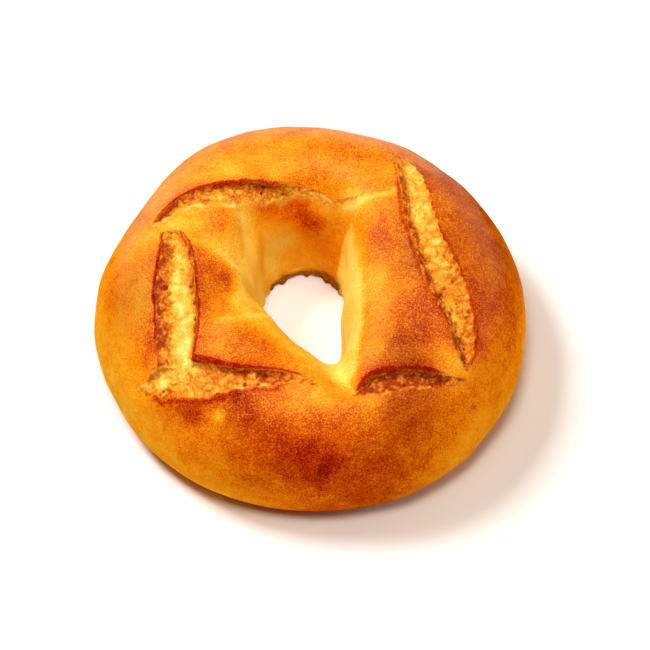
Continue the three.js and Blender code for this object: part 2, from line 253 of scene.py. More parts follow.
# where the oven browned the crust more or less: the middle of each patch, its reach and how much
browning = {
    "front": ((0, -52, 20), 30, 0.16),
    "front middle": ((-6, -49, 28), 10, 0.06),
    "front, right of middle": ((15, -52, 20), 14, 0.14),
    "front, below the short split": ((25, -41, 34), 7, 0.2),
    "front left streak": ((-19, -44, 31), 5, -0.06),
    "front left, low": ((-24, -48, 4), 8, -0.14),
    # partly browning, partly painted shade under the raised near flap
    "under the near flap": ((-30, -40.5, 30), 3.4, 0.34),
    "far spot": ((0.5, 24, 25), 3.4, 0.24),
    "far spot, upper": ((-7, 23.5, 32), 4, 0.04),
    "far piece": ((3, 22, 20), 8, 0.06),
    "far piece, pale part": ((-7.5, 22, 19), 5.5, -0.34),
    "far left patch": ((-22.5, 13, 39.5), 4, 0.26),
    "right piece, far end": ((18, 9, 38), 7, 0.26),
    "left side": ((-45, -4, 33), 13, 0.12),
    "left side, beside the split": ((-41, -21, 35), 5, 0.16),
    "middle left piece, hole side": ((-21, -4, 37), 6, 0.2),
    "middle left piece": ((-28, 3, 39), 6, 0.06),
    "far streak": ((-17.5, 18, 36.5), 3.5, -0.14),
    "right split, far end": ((25.5, 31, 38), 3, -0.2),
    "right piece, beside the split": ((27, 8, 39), 5, -0.08),
    "front, low": ((12, -53, 6), 17, 0.14),
    "far left, above the hole": ((-16, 15, 33), 5, -0.14),
    "far split, upper edge": ((-8, 29, 39.5), 3.5, -0.14),
    "far right, beside the fold": ((10, 36, 39.5), 8, 0.1),
    "far right piece, hole corner": ((13, 9, 35), 5.5, -0.22),
    "far wall, low": ((-5, 22, 10), 9, -0.12),
    "left lobe, split side": ((-42, -10, 37), 5, -0.1),
    "between the near splits": ((3, -38, 37), 4.5, -0.18),
    "near left flap, right end": ((-15, -39, 36), 4, 0.1),
    "near left piece, beside the fold": ((-13, -24, 38), 6, 0.14),
    "near left piece, by the split": ((-20, -31, 37), 5, 0.06),
    "front left corner": ((-46, -29, 22), 14, -0.13),
    "right piece, far middle": ((19, 4, 38), 5, 0.12),
    "right side, middle": ((45, 12, 32), 11, 0.07),
    "near left piece, fold side": ((-17, -16, 38), 4, -0.1),
    "right split, outer far end": ((29, 30, 37), 4, 0.14),
    "far wall, left": ((-10, 21, 28), 6, -0.1),
    "far wall, right": ((6, 21, 25), 5, -0.1),
    "left side, near end of the split": ((-42, -25, 34), 4, 0.16),
    "left side, low": ((-55, -6, 14), 17, -0.18),
    "right piece": ((22, -6, 39), 20, 0.1),
    "right piece, near end": ((25, -27, 38), 9, 0.2),
    "right piece, split side": ((28, -17, 39), 8, 0.14),
    "right side": ((46, -4, 31), 15, 0.18),
    "right side, far end": ((40, 26, 32), 14, 0.18),
    "right edge": ((56, 5, 14), 14, -0.1),
    "far top, left": ((-23, 29, 39.5), 6, -0.2),
    "far top, right": ((21, 29, 39), 4, -0.06),
    "far left corner": ((-34.5, 11, 39), 5.5, -0.36),
    "far left, hole side": ((-23, 5, 38), 5, -0.16),
    "far left piece": ((-28, 15, 39), 7, -0.06),
    "far left, slope into the hole": ((-20, 11, 36), 4, 0.06),
    "far top edge, left": ((-17, 21, 38), 3, 0.04),
    "left lobe": ((-44, -4, 37.5), 6, -0.16),
    "left lobe, far": ((-44, 7, 37), 6, -0.14),
    "left lobe, near": ((-44, -16, 36), 6, -0.12),
    "far right corner": ((11, 22.5, 36.5), 3.4, -0.36),
    "near right corner": ((38, -28, 35), 5.5, -0.3),
    "right piece, split end": ((32, -25, 38), 4, -0.1),
    "near fold mouth": ((9, -34, 34), 4, 0.2),
    "beside the short split": ((15, -42, 37), 3, -0.2),
    "near left piece, hole side": ((-8, -22, 34), 9, -0.04),
    "blister": ((-23, -42.5, 33), 1.6, -0.45),
    "nick": ((42.5, -36, 26), 0.6, 0.6),
}

# painted shade and painted light on the crust: patches darkened or brightened for how the light
# falls; the middle, the reach and how much of its colour goes (a negative amount brightens)
paintedShadingPatches = {
    "right piece, near end": ((23, -22, 38), 12, 0.16),
    "right piece, near split": ((26, -29, 38), 6, 0.24),
    "right piece, middle": ((28, 3, 38), 9, 0.24),
    "right side": ((48, 8, 28), 20, 0.2),
    "right side, low": ((57, -6, 14), 15, -0.26),
    "front": ((2, -50, 20), 18, -0.3),
    "front right": ((40, -40, 16), 17, -0.15),
    "front left": ((-30, -44, 12), 20, -0.2),
    "far left, in the hole": ((-15.5, 13, 27), 8, -0.3),
    "far split, lower edge": ((-5, 24, 31), 8, -0.3),
    "far right, split edge": ((25, 22, 38), 5, 0.2),
    "left lobe": ((-44, -8, 34), 14, 0.32),
    "below the short split": ((24, -42, 33), 9, 0.22),
    "near left piece": ((-22, -26, 38), 8, 0.12),
    "middle left piece, split side": ((-29, -7, 39), 5, 0.16),
    "front, left of middle": ((-17, -43, 31), 8, 0.16),
    "far right": ((38, 38, 28), 16, 0.16),
}

# browned bands along a path seen from above, on the upper half of the roll
brownStrips = {
    "far piece, top edge": {"path": [(-13, 22), (-8, 24), (-3, 25), (4, 24), (7, 23)],
     "reach": 1.6, "amount": 0.2},
    "front band": {"path": [(-19, -42.5), (-12, -46.5), (-4, -50.5), (3, -52.5)],
     "reach": 3.8, "amount": 0.15},
    "right piece, hole side": {"path": [(16, 3), (17, -5), (17.5, -15), (17, -25)],
     "reach": 4.5, "amount": -0.19},
    "far split, thin end": {"path": [(1, 25), (6, 23.5), (9.5, 22), (14.5, 22), (22, 23)],
     "reach": 1.4, "amount": -0.34},
}

# the dough round the hole stayed paler: the line where the browning ends, seen from above,
# how wide the change is, how browned it is inside and how far in that goes
paleEdges = [
    {"path": [(10.5, 19), (11, 17), (12, 12), (12.5, 5.5), (13.5, 0), (14, -6.5), (14, -12.5),
              (13.5, -18.5), (12.5, -26), (12, -30.5), (10.5, -36.5)],
     "soft": 2.6, "bake": [0.05, 0, 0, 0.05, 0.3], "reach": 6, "fade": (0.05, 0.1)},
    {"path": [(-30, 9.5), (-25.5, 6), (-21.5, 1), (-20, -5), (-20.5, -10), (-16, -16), (-9.5, -21),
              (-2, -28.5), (6, -36.5)],
     "soft": 4.6, "bake": [0.3, 0.2, 0.18, 0.28, 0.34, 0.34, 0.34], "reach": 11, "fade": (0.25, 0.1)},
]
# and down the sides of the hole: where round the ring, how wide in degrees, and
# between which heights it turns into browned crust
holeShade = [
    {"at": 165, "reach": 42, "pale": 0.22, "edge": (20, 36)},
    {"at": 138, "reach": 10, "pale": 0.3, "edge": (20, 38)},
    {"at": 118, "reach": 10, "pale": 0.22, "edge": (12, 34)},
    {"at": 85, "reach": 30, "pale": 0.16, "edge": (6, 16)},
]


def aroundRing(values, angle):
    values = np.asarray(values, float)
    count = len(values)
    place = (angle / fullTurn % 1) * count
    index = np.floor(place).astype(int)
    a, b, c, d = (values[(index + step) % count] for step in (-1, 0, 1, 2))
    return spline(a, b, c, d, place - index)


def sectionPoint(ringAngle, sectionAngle):
    # radius and height on the cross-section: 0 is the rim, a quarter turn the crest
    rim = aroundRing(roll["rimRadius"], ringAngle)
    hole = aroundRing(roll["holeRadius"], ringAngle)
    crest = hole + (rim - hole) * aroundRing(roll["crestShare"], ringAngle)
    cosine = np.cos(sectionAngle)
    sine = np.sin(sectionAngle)
    onRim = cosine >= 0
    reach = np.where(onRim, rim - crest, hole - crest)
    sideHeight = np.where(onRim, roll["rimHeight"], roll["waistHeight"])
    roundness = np.where(onRim, roll["rimRoundness"], aroundRing(roll["shoulderRoundness"], ringAngle))
    climb = aroundRing(roll["crestHeight"], ringAngle) - sideHeight
    upRadius = crest + reach * np.abs(cosine) ** roundness
    upHeight = sideHeight + climb * np.abs(sine) ** roundness
    down = np.clip(-sine / roll["footShare"], 0, 1)
    tuck = np.where(onRim, roll["rimTuck"], roll["waistTuck"]) * (1 - np.cos(down * math.pi / 2))
    flat = np.where(-sine > roll["footShare"], np.abs(cosine) / math.sqrt(1 - roll["footShare"] ** 2), 1)
    downRadius = crest + reach * (1 - tuck) * flat
    downHeight = sideHeight * (1 - np.sin(down * math.pi / 2))
    up = sine >= 0
    return np.where(up, upRadius, downRadius), np.where(up, upHeight, downHeight)


def crowdingAt(height):
    crowding = roll["crowding"]
    foot = (crowding["foot"] - crowding["side"]) * (1 - rise(3, 8, height))
    top = (crowding["top"] - crowding["side"]) * rise(20, 32, height)
    return np.where(height < 0.01, crowding["base"], crowding["side"] + foot + top)


tableRows = 360  # one for each degree round the ring
tableColumns = 720
sectionSamples = 1440


def evenSectionAngles():
    # section angles at even steps of length, starting at the middle of the base
    ringAngles = np.radians(np.arange(tableRows + 1))
    angles = np.linspace(-0.25, 0.75, sectionSamples + 1) * fullTurn
    radius, height = sectionPoint(ringAngles[:, None], angles[None, :])
    steps = np.hypot(np.diff(radius, axis=1), np.diff(height, axis=1))
    steps *= crowdingAt((height[:, 1:] + height[:, :-1]) / 2)
    travelled = np.concatenate([np.zeros((tableRows + 1, 1)), np.cumsum(steps, axis=1)], axis=1)
    shares = np.linspace(0, 1, tableColumns + 1)
    return np.array([np.interp(shares * row[-1], row, angles) for row in travelled])


sectionAngleTable = evenSectionAngles()


def sectionAngleAt(ringAngle, share):
    row = np.degrees(ringAngle) % tableRows
    column = (share % 1) * tableColumns
    top = np.floor(row).astype(int)
    left = np.floor(column).astype(int)
    low = mix(sectionAngleTable[top, left], sectionAngleTable[top + 1, left], row - top)
    high = mix(sectionAngleTable[top, left + 1], sectionAngleTable[top + 1, left + 1], row - top)
    return mix(low, high, column - left)


def sectionPlace(ringAngle, sectionAngle):
    radius, height = sectionPoint(ringAngle, sectionAngle)
    return np.stack([radius * np.cos(ringAngle), radius * np.sin(ringAngle), height], axis=-1)


def unit(vectors):
    return vectors / (np.linalg.norm(vectors, axis=-1, keepdims=True) + 1e-12)


def samplePath(path, count=48):
    points = np.asarray(path, float)
    points = np.vstack([2 * points[0] - points[1], points, 2 * points[-1] - points[-2]])
    pieces = len(path) - 1
    place = np.linspace(0, pieces, count)
    index = np.minimum(np.floor(place).astype(int), pieces - 1)
    a, b, c, d = (points[index + step] for step in range(4))
    return spline(a, b, c, d, (place - index)[:, None])


def nearestOnPath(path, x, y):
    # distances to a path seen from above, and the share of the path and its width there
    points = samplePath(path)
    last = len(points) - 2
    found = {key: np.zeros_like(x) for key in ("left", "toHole", "share", "width", "past", "holeX", "holeY")}
    found["distance"] = np.full_like(x, np.inf)
    for i in range(len(points) - 1):
        a, b = points[i], points[i + 1]
        dx, dy = b[0] - a[0], b[1] - a[1]
        length = math.hypot(dx, dy)
        travel = ((x - a[0]) * dx + (y - a[1]) * dy) / length ** 2
        share = np.clip(travel, 0, 1)
        distance = np.hypot(x - a[0] - dx * share, y - a[1] - dy * share)
        side = np.sign(dx * (y - a[1]) - dy * (x - a[0]))
        holeSide = math.copysign(1, dy * a[0] - dx * a[1])
        width = a[2] + (b[2] - a[2]) * share if len(a) > 2 else np.zeros_like(x)
        new = {
            "distance": distance,
            "left": distance * side,
            "toHole": distance * side * holeSide,
            "share": (i + share) / (last + 1),
            "width": np.maximum(width, 0),
            "past": ((travel < 0) & (i == 0)) | ((travel > 1) & (i == last)),
            "holeX": np.full_like(x, -dy / length * holeSide),
            "holeY": np.full_like(x, dx / length * holeSide),
        }
        nearer = distance < found["distance"]
        for key, value in new.items():
            found[key] = np.where(nearer, value, found[key])
    return found


def along(values, share):
    # a list that runs evenly along a path, read at a share of its length
    return np.interp(share, np.linspace(0, 1, len(values)), values)


def splitGap(x, y):
    # distance outside the nearest split, negative inside it
    gaps = []
    for split in splits.values():
        near = nearestOnPath(split["path"], x, y)
        gaps.append(near["distance"] - near["width"] / 2)
    return np.min(gaps, axis=0)


def guideTorus(bm):
    guideRadius = 2.0
    bmesh.ops.create_circle(bm, cap_ends=False, segments=roll["sectionSteps"], radius=1.0)
    bmesh.ops.rotate(bm, verts=bm.verts, cent=(0, 0, 0), matrix=Matrix.Rotation(math.pi / 2, 3, "X"))
    bmesh.ops.translate(bm, verts=bm.verts, vec=(guideRadius, 0, 0))
    bmesh.ops.spin(bm, geom=bm.verts[:] + bm.edges[:], cent=(0, 0, 0), axis=(0, 0, 1),
                   angle=fullTurn, steps=roll["ringSteps"], use_merge=True)
    bmesh.ops.remove_doubles(bm, verts=bm.verts, dist=1e-6)
    bmesh.ops.recalc_face_normals(bm, faces=bm.faces)
    return guideRadius


def ringPlaces(bm, guideRadius):
    # the angle round the ring and the angle round the section of every vertex
    guide = np.array([v.co[:] for v in bm.verts])
    ringAngle = np.arctan2(guide[:, 1], guide[:, 0]) % fullTurn
    across = np.hypot(guide[:, 0], guide[:, 1]) - guideRadius
    share = (np.arctan2(guide[:, 2], across) / fullTurn + 0.25) % 1
    return ringAngle, sectionAngleAt(ringAngle, share)


def makeFinerRoundSplits(bm, guideRadius, reach):
    ringAngle, sectionAngle = ringPlaces(bm, guideRadius)
    places = sectionPlace(ringAngle, sectionAngle)
    onTop = (np.sin(sectionAngle) > 0) & (places[:, 2] > 20)
    close = np.zeros(len(places), bool)
    close[onTop] = splitGap(places[onTop, 0], places[onTop, 1]) < reach
    bm.verts.index_update()
    edges = [e for e in bm.edges if close[e.verts[0].index] and close[e.verts[1].index]]
    bmesh.ops.subdivide_edges(bm, edges=edges, cuts=1, use_grid_fill=True)


def tearAt(points, coarseShift, fineShift):
    coarse, fine = tearing["coarse"], tearing["fine"]
    wide = coarse["amount"] * noiseAt(points, coarse["size"], coarseShift)
    return wide + fine["amount"] * noiseAt(points, fine["size"], fineShift)


def splitParts(split, x, y, tears):
    # how far inside each edge of a split the points lie
    near = nearestOnPath(split["path"], x, y)
    width = near["width"]
    ragShare = mix(tearing["narrowShare"], 1, rise(0.5, 4, width))
    gap = near["distance"] - width / 2
    part = {"near": near, "width": width, "outside": np.maximum(gap, 0)}
    for side, sign in (("rim", 1), ("hole", -1)):
        fromEdge = np.where(near["past"], -near["distance"], width / 2 + sign * near["toHole"])
        part[side] = fromEdge + split[side]["ragged"] * ragShare * tears[side]
    part["inside"] = np.minimum(part["rim"], part["hole"])
    part["cover"] = rise(-0.6, 1.0, part["inside"]) * rise(0.6, 2.5, width)
    return part


def wallShape(split, part):
    # 0 on the crust, 1 on the floor of the split
    walls = rise(0, split["rim"]["wall"], part["rim"]) * rise(0, split["hole"]["wall"], part["hole"])
    return walls * rise(0.3, split["fullWidth"], part["width"])


def crumbShape(split, part):
    # how much of the crumb shows between the edges
    shown = np.ones_like(part["width"])
    for side in ("rim", "hole"):
        soft = split[side]["soft"]
        shown = shown * rise(-soft / 2, soft / 2, part[side])
    return shown * rise(0.3, 1.2, part["width"])


def crumbTone(split, part):
    share = part["near"]["share"]
    tone = along(split["tone"], share)
    for side in ("rim", "hole"):
        edge = split[side]
        tone = mix(tone, along(edge["tone"], share), 1 - rise(0, edge["toneReach"], part[side]))
    return tone


def leanOver(edge):
    # the lip leans over the opening, and the wall under it is cut back
    lean = hump(edge, 1.3)
    cutBack = 1 - 1.6 * rise(0, 0.9, edge) + 0.6 * rise(0.9, 2.4, edge)
    return np.where(edge < 0, lean, cutBack)


def tearCrumb(points, torn, tone):
    # the height of the torn crumb, and the painted shade that darkens its hollows and pores
    clumps, grains, dust, pores = (np.zeros(len(points)) for _ in range(4))
    there = np.flatnonzero(torn > 0.001)
    places = points[there]
    clumps[there] = np.abs(noiseAt(places, crumb["clumps"]["size"], 7.7)) - 0.25
    grains[there] = np.abs(noiseAt(places, crumb["grains"]["size"], 17.1)) - 0.22
    dust[there] = noiseAt(places, crumb["dust"]["size"], 27.9)
    pores[there] = poresAt(places, crumb["pores"]["size"], 3.3)
    pores[there] *= rise(0.0, 0.25, noiseAt(places, crumb["pores"]["where"], 91.0))
    pores *= 0.25 + 0.75 * rise(0.25, 0.6, tone)  # fewer in the pale crumb
    relief = crumb["clumps"]["height"] * clumps + crumb["grains"]["height"] * grains
    relief += crumb["dust"]["height"] * dust - crumb["pores"]["depth"] * pores
    hollowShade = crumb["clumps"]["toast"] * (0.1 - clumps) + crumb["grains"]["toast"] * (0.08 - grains)
    return torn * relief, hollowShade + crumb["pores"]["toast"] * pores


def openSplits(points, normals, looks):
    # cuts, lips, overhangs and torn crumb; works on the top of the crust only
    x, y, z = points.T
    top = rise(12, 22, z)
    tears = {"rim": tearAt(points, 11.3, 31.7), "hole": tearAt(points, 53.9, 71.1)}
    breaks = tearing["lineBreaks"]
    unbroken = breaks["level"] + breaks["amount"] * noiseAt(points, breaks["size"], 63.0)
    parts = {name: splitParts(split, x, y, tears) for name, split in splits.items()}
    floorSum, wallSum, deepest, weightSum, toneSum = (np.zeros_like(x) for _ in range(5))
    crumbShown, lipHeight, lipBake, scorch, burn = (np.zeros_like(x) for _ in range(5))
    inside = np.full_like(x, -9.0)
    sideways = np.zeros((len(x), 2))
    for name, split in splits.items():
        part = parts[name]
        near, width = part["near"], part["width"]
        rim, hole = split["rim"], split["hole"]
        share = near["share"]
        alone = 1 - np.max([other["cover"] for key, other in parts.items() if key != name], axis=0)

        across = np.clip(part["rim"] / np.maximum(part["rim"] + part["hole"], 0.05), 0, 1)
        walls = wallShape(split, part)
        floorSum += mix(rim["depth"], hole["depth"], across) * walls
        wallSum += walls
        deepest = np.maximum(deepest, walls)
        shown = crumbShape(split, part)
        crumbShown = np.maximum(crumbShown, shown)
        tone = crumbTone(split, part)
        weight = (shown + 1e-6) * (1.1 - tone) ** 2  # where two splits meet the paler one wins
        weightSum += weight
        toneSum += tone * weight
        inside = np.maximum(inside, part["inside"])

        towardsHole = rise(-1.5, 1.5, near["toHole"])
        side = np.where(near["toHole"] > 0, 1.0, 0.0)
        edge = mix(part["rim"], part["hole"], side)
        opened = rise(1, 4.5, width)
        lip = mix(rim["lip"], hole["lip"], towardsHole)
        lipHeight += lip * hump(part["outside"], tearing["lipReach"]) * opened * (1 - walls) * alone
        darkRim, darkHole = along(rim["dark"], share), along(hole["dark"], share)
        browned = mix(darkRim, darkHole, towardsHole) * hump(part["outside"], tearing["lipBakeReach"])
        lipBake = np.maximum(lipBake, browned * opened)

        line = mix(along(rim["line"], share), along(hole["line"], share), side)
        lineAt = mix(rim["lineAt"], hole["lineAt"], side)
        darkLine = mix(darkRim, darkHole, side) * hump(edge + lineAt, line) * rise(0.7, 4, width)
        darkLine *= rise(0, tearing["lineFade"], share) * rise(0, tearing["lineFade"], 1 - share)
        darkLine = rise(0.2, 0.6, darkLine * alone * unbroken)
        burn = np.where(darkLine > scorch, mix(rim["burn"], hole["burn"], side), burn)
        scorch = np.maximum(scorch, darkLine)

        over = mix(rim["over"], hole["over"], side) * rise(1, 4, width) * alone
        slide = leanOver(edge) * over * (1 - 2 * side) * top
        sideways += slide[:, None] * np.stack([near["holeX"], near["holeY"]], axis=-1)

    depth = deepest * floorSum / np.maximum(wallSum, 1e-6)
    moved = points + normals * (top * (lipHeight - depth))[:, None]
    moved[:, :2] += sideways

    tone = toneSum / weightSum
    relief, hollowShade = tearCrumb(moved, rise(-0.1, 1.0, inside) * top, tone)
    moved += normals * relief[:, None]
    mottling = crumb["mottling"]["amount"] * noiseAt(moved, crumb["mottling"]["size"], 37.0)
    looks["crumb"] = crumbShown * top * (1 - scorch)
    # the crumb's level holds its toasting, random mottling and the painted shade of its hollows
    looks["toast"] = np.clip(tone + hollowShade + mottling, 0, 1)
    looks["lipBake"] = lipBake * top
    looks["scorch"] = scorch * top
    looks["burn"] = burn
    return moved


def pressFolds(points, normals, looks):
    x, y, z = points.T
    push = np.zeros_like(x)
    pale = np.zeros_like(x)
    soft, ridgeWidth = foldShape["stepSoftness"], foldShape["ridgeWidth"]
    for fold in folds.values():
        near = nearestOnPath(fold["path"], x, y)
        left = near["left"]
        start, end = fold["fade"]
        fade = rise(0, start, near["share"])
        if end > 0:
            fade = fade * rise(0, end, 1 - near["share"])
        side = rise(-soft, soft, left) - 0.5
        push -= fold["depth"] * fade * hump(left, fold["width"])
        push += fold["step"] * side * fade * hump(left, foldShape["stepReach"])
        highSide = math.copysign(1, fold["step"])
        push += fold["ridge"] * fade * hump(left - highSide * ridgeWidth, ridgeWidth)
        # on a ridge the paleness sits on its raised edge: partly less browning, partly a painted highlight
        paleAt = left - highSide * 0.5 * ridgeWidth if fold["ridge"] else left
        close = hump(near["distance"], foldShape["paleReach"])
        pale += fold["pale"] * hump(paleAt, fold["width"]) * fade * close
    looks["foldPaleAndHighlight"] = pale
    return points + normals * (push * rise(8, 16, z))[:, None]


def spreadFoot(base, points, ringAngle, onHole, looks):
    # the foot spread a little on the tray, unevenly, with a groove above it in the hole
    height = base[:, 2]
    lip = roll["footLip"]
    strip = roll["dryFoot"]
    wobble = 1 + 0.6 * noiseAt(base, 4.5, 21.0) + 1.1 * noiseAt(base, 1.7, 44.0)
    level = height + 0.5 * noiseAt(base, 6.0, 12.0) + 0.9 * noiseAt(base, 2.4, 15.0)
    degrees = np.degrees(ringAngle)
    stripTop = along(strip["heights"], (degrees - strip["from"]) / (strip["to"] - strip["from"]))
    groove = lip["groove"] * hump(level - stripTop - 1, lip["grooveWidth"])
    spread = lip["out"] * wobble * hump(height, lip["height"]) - groove
    fade = 1 - rise(*lip["span"], degreesApart(degrees, lip["middle"]))
    spread = np.where(onHole & (height > 0.01), spread * fade, 0)
    points[:, :2] -= unit(base[:, :2]) * spread[:, None]

    looks["foot"] = np.where(onHole, hump(height, 2.6), hump(height, 1.5))
    farFoot = (1 - rise(-0.5, 0.5, level - stripTop)) * rise(0, 7, degrees - strip["from"])
    farFoot *= rise(0, 7, strip["to"] - degrees + 2 * noiseAt(base, 3.0, 61.0))
    looks["dryFoot"] = np.where(onHole, farFoot, 0)


def shapeBread(ringAngle, sectionAngle):
    base = sectionPlace(ringAngle, sectionAngle)
    step = 0.003  # a small turn to each side, in radians, to find the directions along the surface
    alongRing = sectionPlace(ringAngle + step, sectionAngle) - sectionPlace(ringAngle - step, sectionAngle)
    alongSection = sectionPlace(ringAngle, sectionAngle + step) - sectionPlace(ringAngle, sectionAngle - step)
    normals = unit(np.cross(alongRing, alongSection))
    looks = {key: np.zeros(len(base)) for key in ("crumb", "toast", "lipBake", "scorch", "burn", "foldPaleAndHighlight")}

    swell, dimples, peel = roll["swell"], roll["dimples"], roll["peel"]
    uneven = swell["height"] * noiseAt(base, swell["size"])
    uneven += dimples["height"] * noiseAt(base, dimples["size"], 5.1)
    uneven += peel["height"] * noiseAt(base, peel["size"], 9.7)
    points = base + normals * (uneven * rise(1.5, 6, base[:, 2]))[:, None]

    top = np.flatnonzero((np.sin(sectionAngle) > 0) & (base[:, 2] > 8))
    topLooks = {}
    split = openSplits(base[top], normals[top], topLooks)
    fold = pressFolds(base[top], normals[top], topLooks)
    points[top] += (split - base[top]) + (fold - base[top])
    for key, value in topLooks.items():
        looks[key][top] = value

    spreadFoot(base, points, ringAngle, np.cos(sectionAngle) < 0, looks)
    return base, points, looks


def addPatches(level, base, patches):
    for middle, reach, amount in patches.values():
        distance = np.linalg.norm(base - np.array(middle), axis=1)
        level = level + amount * hump(distance, reach)
    return level


def bakeCrust(base, sectionAngle, looks):
    # 0 is pale dough, 1 is scorched
    x, y, z = base.T
    ringAngle = np.arctan2(y, x) % fullTurn
    radius = np.hypot(x, y)
    onHole = np.cos(sectionAngle) < 0
    bake = baking["level"]
    for cloud in baking["clouds"]:
        bake = bake + cloud["amount"] * noiseAt(base, cloud["size"], cloud["shift"])
    # the dough stretched outwards as it rose, so the browning has faint streaks down the sides
    streaks = baking["streaks"]
    flow = np.stack([np.cos(ringAngle) * streaks["radius"], np.sin(ringAngle) * streaks["radius"],
                     sectionAngle * streaks["drop"]], axis=-1)
    bake += streaks["amount"] * noiseAt(flow, streaks["size"], 8.8) * rise(42, 50, radius)
    lowSide = baking["lowSide"]
    bake -= lowSide["amount"] * (1 - rise(*lowSide["heights"], z)) * (np.cos(sectionAngle) > 0)
    bake = addPatches(bake, base, browning)
    upper = rise(14, 22, z)
    for strip in brownStrips.values():
        near = nearestOnPath(strip["path"], x, y)
        bake += strip["amount"] * hump(near["distance"], strip["reach"]) * upper

    wobble = baking["edgeWobble"]
    edgeNoise = noiseAt(base, wobble["size"], 33.0)
    for edge in paleEdges:
        near = nearestOnPath(edge["path"], x, y)
        start, end = edge["fade"]
        inside = near["toHole"] + wobble["shift"] * edgeNoise
        pale = rise(-edge["soft"] / 2, edge["soft"] / 2, inside)
        pale *= rise(0, start, near["share"]) * rise(0, end, 1 - near["share"])
        pale *= 1 - rise(edge["reach"], edge["reach"] + 3, near["distance"])
        bake = mix(bake, along(edge["bake"], near["share"]) + wobble["bake"] * edgeNoise, pale)
    for shade in holeShade:
        turn = degreesApart(np.degrees(ringAngle), shade["at"])
        pale = shade["pale"] * hump(turn, shade["reach"]) * (1 - rise(*shade["edge"], z))
        bake -= np.where(onHole, pale, 0)
    bake -= looks["foldPaleAndHighlight"]
    bake += baking["lip"] * looks["lipBake"]
    bake = mix(bake, baking["foot"], np.where(onHole & (z > 0.01), 0, 1) * looks["foot"])
    bake = np.where(z < 0.01, baking["base"], bake)
    looks["bake"] = np.clip(mix(np.clip(bake, 0, 1), looks["burn"], looks["scorch"]), 0, 1.2)

    # painted shade and painted light: patches where the crust colour is darkened or brightened for how the
    # light falls
    looks["dull"] = addPatches(np.zeros(len(base)), base, paintedShadingPatches)
    # the egg wash went on the top only, and the pale sandy grain, partly painted glints of light, fades down
    # the sides
    outerGlaze = rise(*baking["glazeHeights"], z) * (1 - rise(*baking["glazeRadii"], radius))
    looks["glaze"] = np.where(onHole, rise(*baking["glazeInHole"], z), outerGlaze) * (1 - looks["scorch"])


def makeBread():
    bm = bmesh.new()
    guideRadius = guideTorus(bm)
    makeFinerRoundSplits(bm, guideRadius, roll["fineReach"])
    makeFinerRoundSplits(bm, guideRadius, roll["finestReach"])
    ringAngle, sectionAngle = ringPlaces(bm, guideRadius)
    report(f"bread mesh has {len(bm.verts)} points")

    base, points, looks = shapeBread(ringAngle, sectionAngle)
    bakeCrust(base, sectionAngle, looks)
    report("bread is shaped")

    mesh = bpy.data.meshes.new("bread_loaf")
    bmesh.ops.recalc_face_normals(bm, faces=bm.faces)
    bm.to_mesh(mesh)
    bm.free()
    low, high = (np.array(corner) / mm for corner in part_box("bread_ring"))
    middle = (points.min(axis=0) + points.max(axis=0)) / 2
    points[:, :2] += ((low + high) / 2 - middle)[:2]
    points[:, 2] += low[2] - points[:, 2].min()
    mesh.vertices.foreach_set("co", (points * mm).ravel())
    for name in ("bake", "crumb", "toast", "dryFoot", "glaze", "dull"):
        attribute = mesh.attributes.new(name, "FLOAT", "POINT")
        attribute.data.foreach_set("value", looks[name].astype(np.float32))
    mesh.polygons.foreach_set("use_smooth", [True] * len(mesh.polygons))
    mesh.update()
    mesh.validate()
    triangles = sum(len(face.vertices) - 2 for face in mesh.polygons)
    report(f"bread mesh has {triangles} triangles")

    bread = bpy.data.objects.new("bread_loaf", mesh)
    bpy.context.scene.collection.objects.link(bread)
    return bread


def linear(hexColour):
    channels = [int(hexColour[i:i + 2], 16) / 255 for i in (1, 3, 5)]
    turned = [c / 12.92 if c <= 0.04045 else ((c + 0.055) / 1.055) ** 2.4 for c in channels]
    return (*turned, 1)


def addNode(tree, kind, settings=None, inputs=None):
    # inputs are values, or (node, output name) pairs to link
    node = tree.nodes.new(kind)
    for key, value in (settings or {}).items():
        setattr(node, key, value)
    for key, value in (inputs or {}).items():
        if isinstance(value, tuple) and hasattr(value[0], "outputs"):
            tree.links.new(value[0].outputs[value[1]], node.inputs[key])
        else:
            node.inputs[key].default_value = value
    return node


def setRamp(node, stops):
    ramp = node.color_ramp
    while len(ramp.elements) > 1:
        ramp.elements.remove(ramp.elements[-1])
    ramp.elements[0].position = stops[0][0]
    ramp.elements[0].color = linear(stops[0][1])
    for position, colour in stops[1:]:
        ramp.elements.new(position).color = linear(colour)


def cellsPerMetre(size):
    return 1 / (size * mm)


crust = {
    "stops": [(0, "#f3d463"), (0.15, "#f3c03c"), (0.3, "#f0a925"), (0.45, "#ed9313"),
              (0.6, "#e67a08"), (0.72, "#cd5805"), (0.84, "#bc4104"), (0.92, "#a82a04"), (1.0, "#861503")],
    "speckle": {"size": 0.4, "amount": 0.74},
    "freckle": {"size": 1.1, "amount": 0.25},
    "blotch": {"size": 4.0, "amount": 0.3},
    # pale grains on the browned tops: partly the crust's sandy grain, partly painted glints of light
    "sandAndGlints": {"size": 0.42, "from": 0.5, "to": 0.72, "amount": -0.28, "sideAmount": -0.1},
    "grain": {"size": 0.42, "height": 0.2, "strength": 1.0},
    "roughness": 0.4,
    "shine": 0.4,
    "sideShine": 0.0,
    "shineColour": "#ffd9a0",
}
tornCrumb = {
    "stops": [(0, "#f7dc78"), (0.25, "#f3c04c"), (0.5, "#e59b2a"), (0.75, "#cc6c16"), (1.0, "#932a08")],
    "speckle": {"size": 0.6, "amount": 0.6},
    "roughness": 0.8,
}
# the thin foot that dried out on the tray
dryFoot = {
    "stops": [(0.3, "#783a05"), (0.55, "#99560c"), (0.75, "#b87a24")],
}


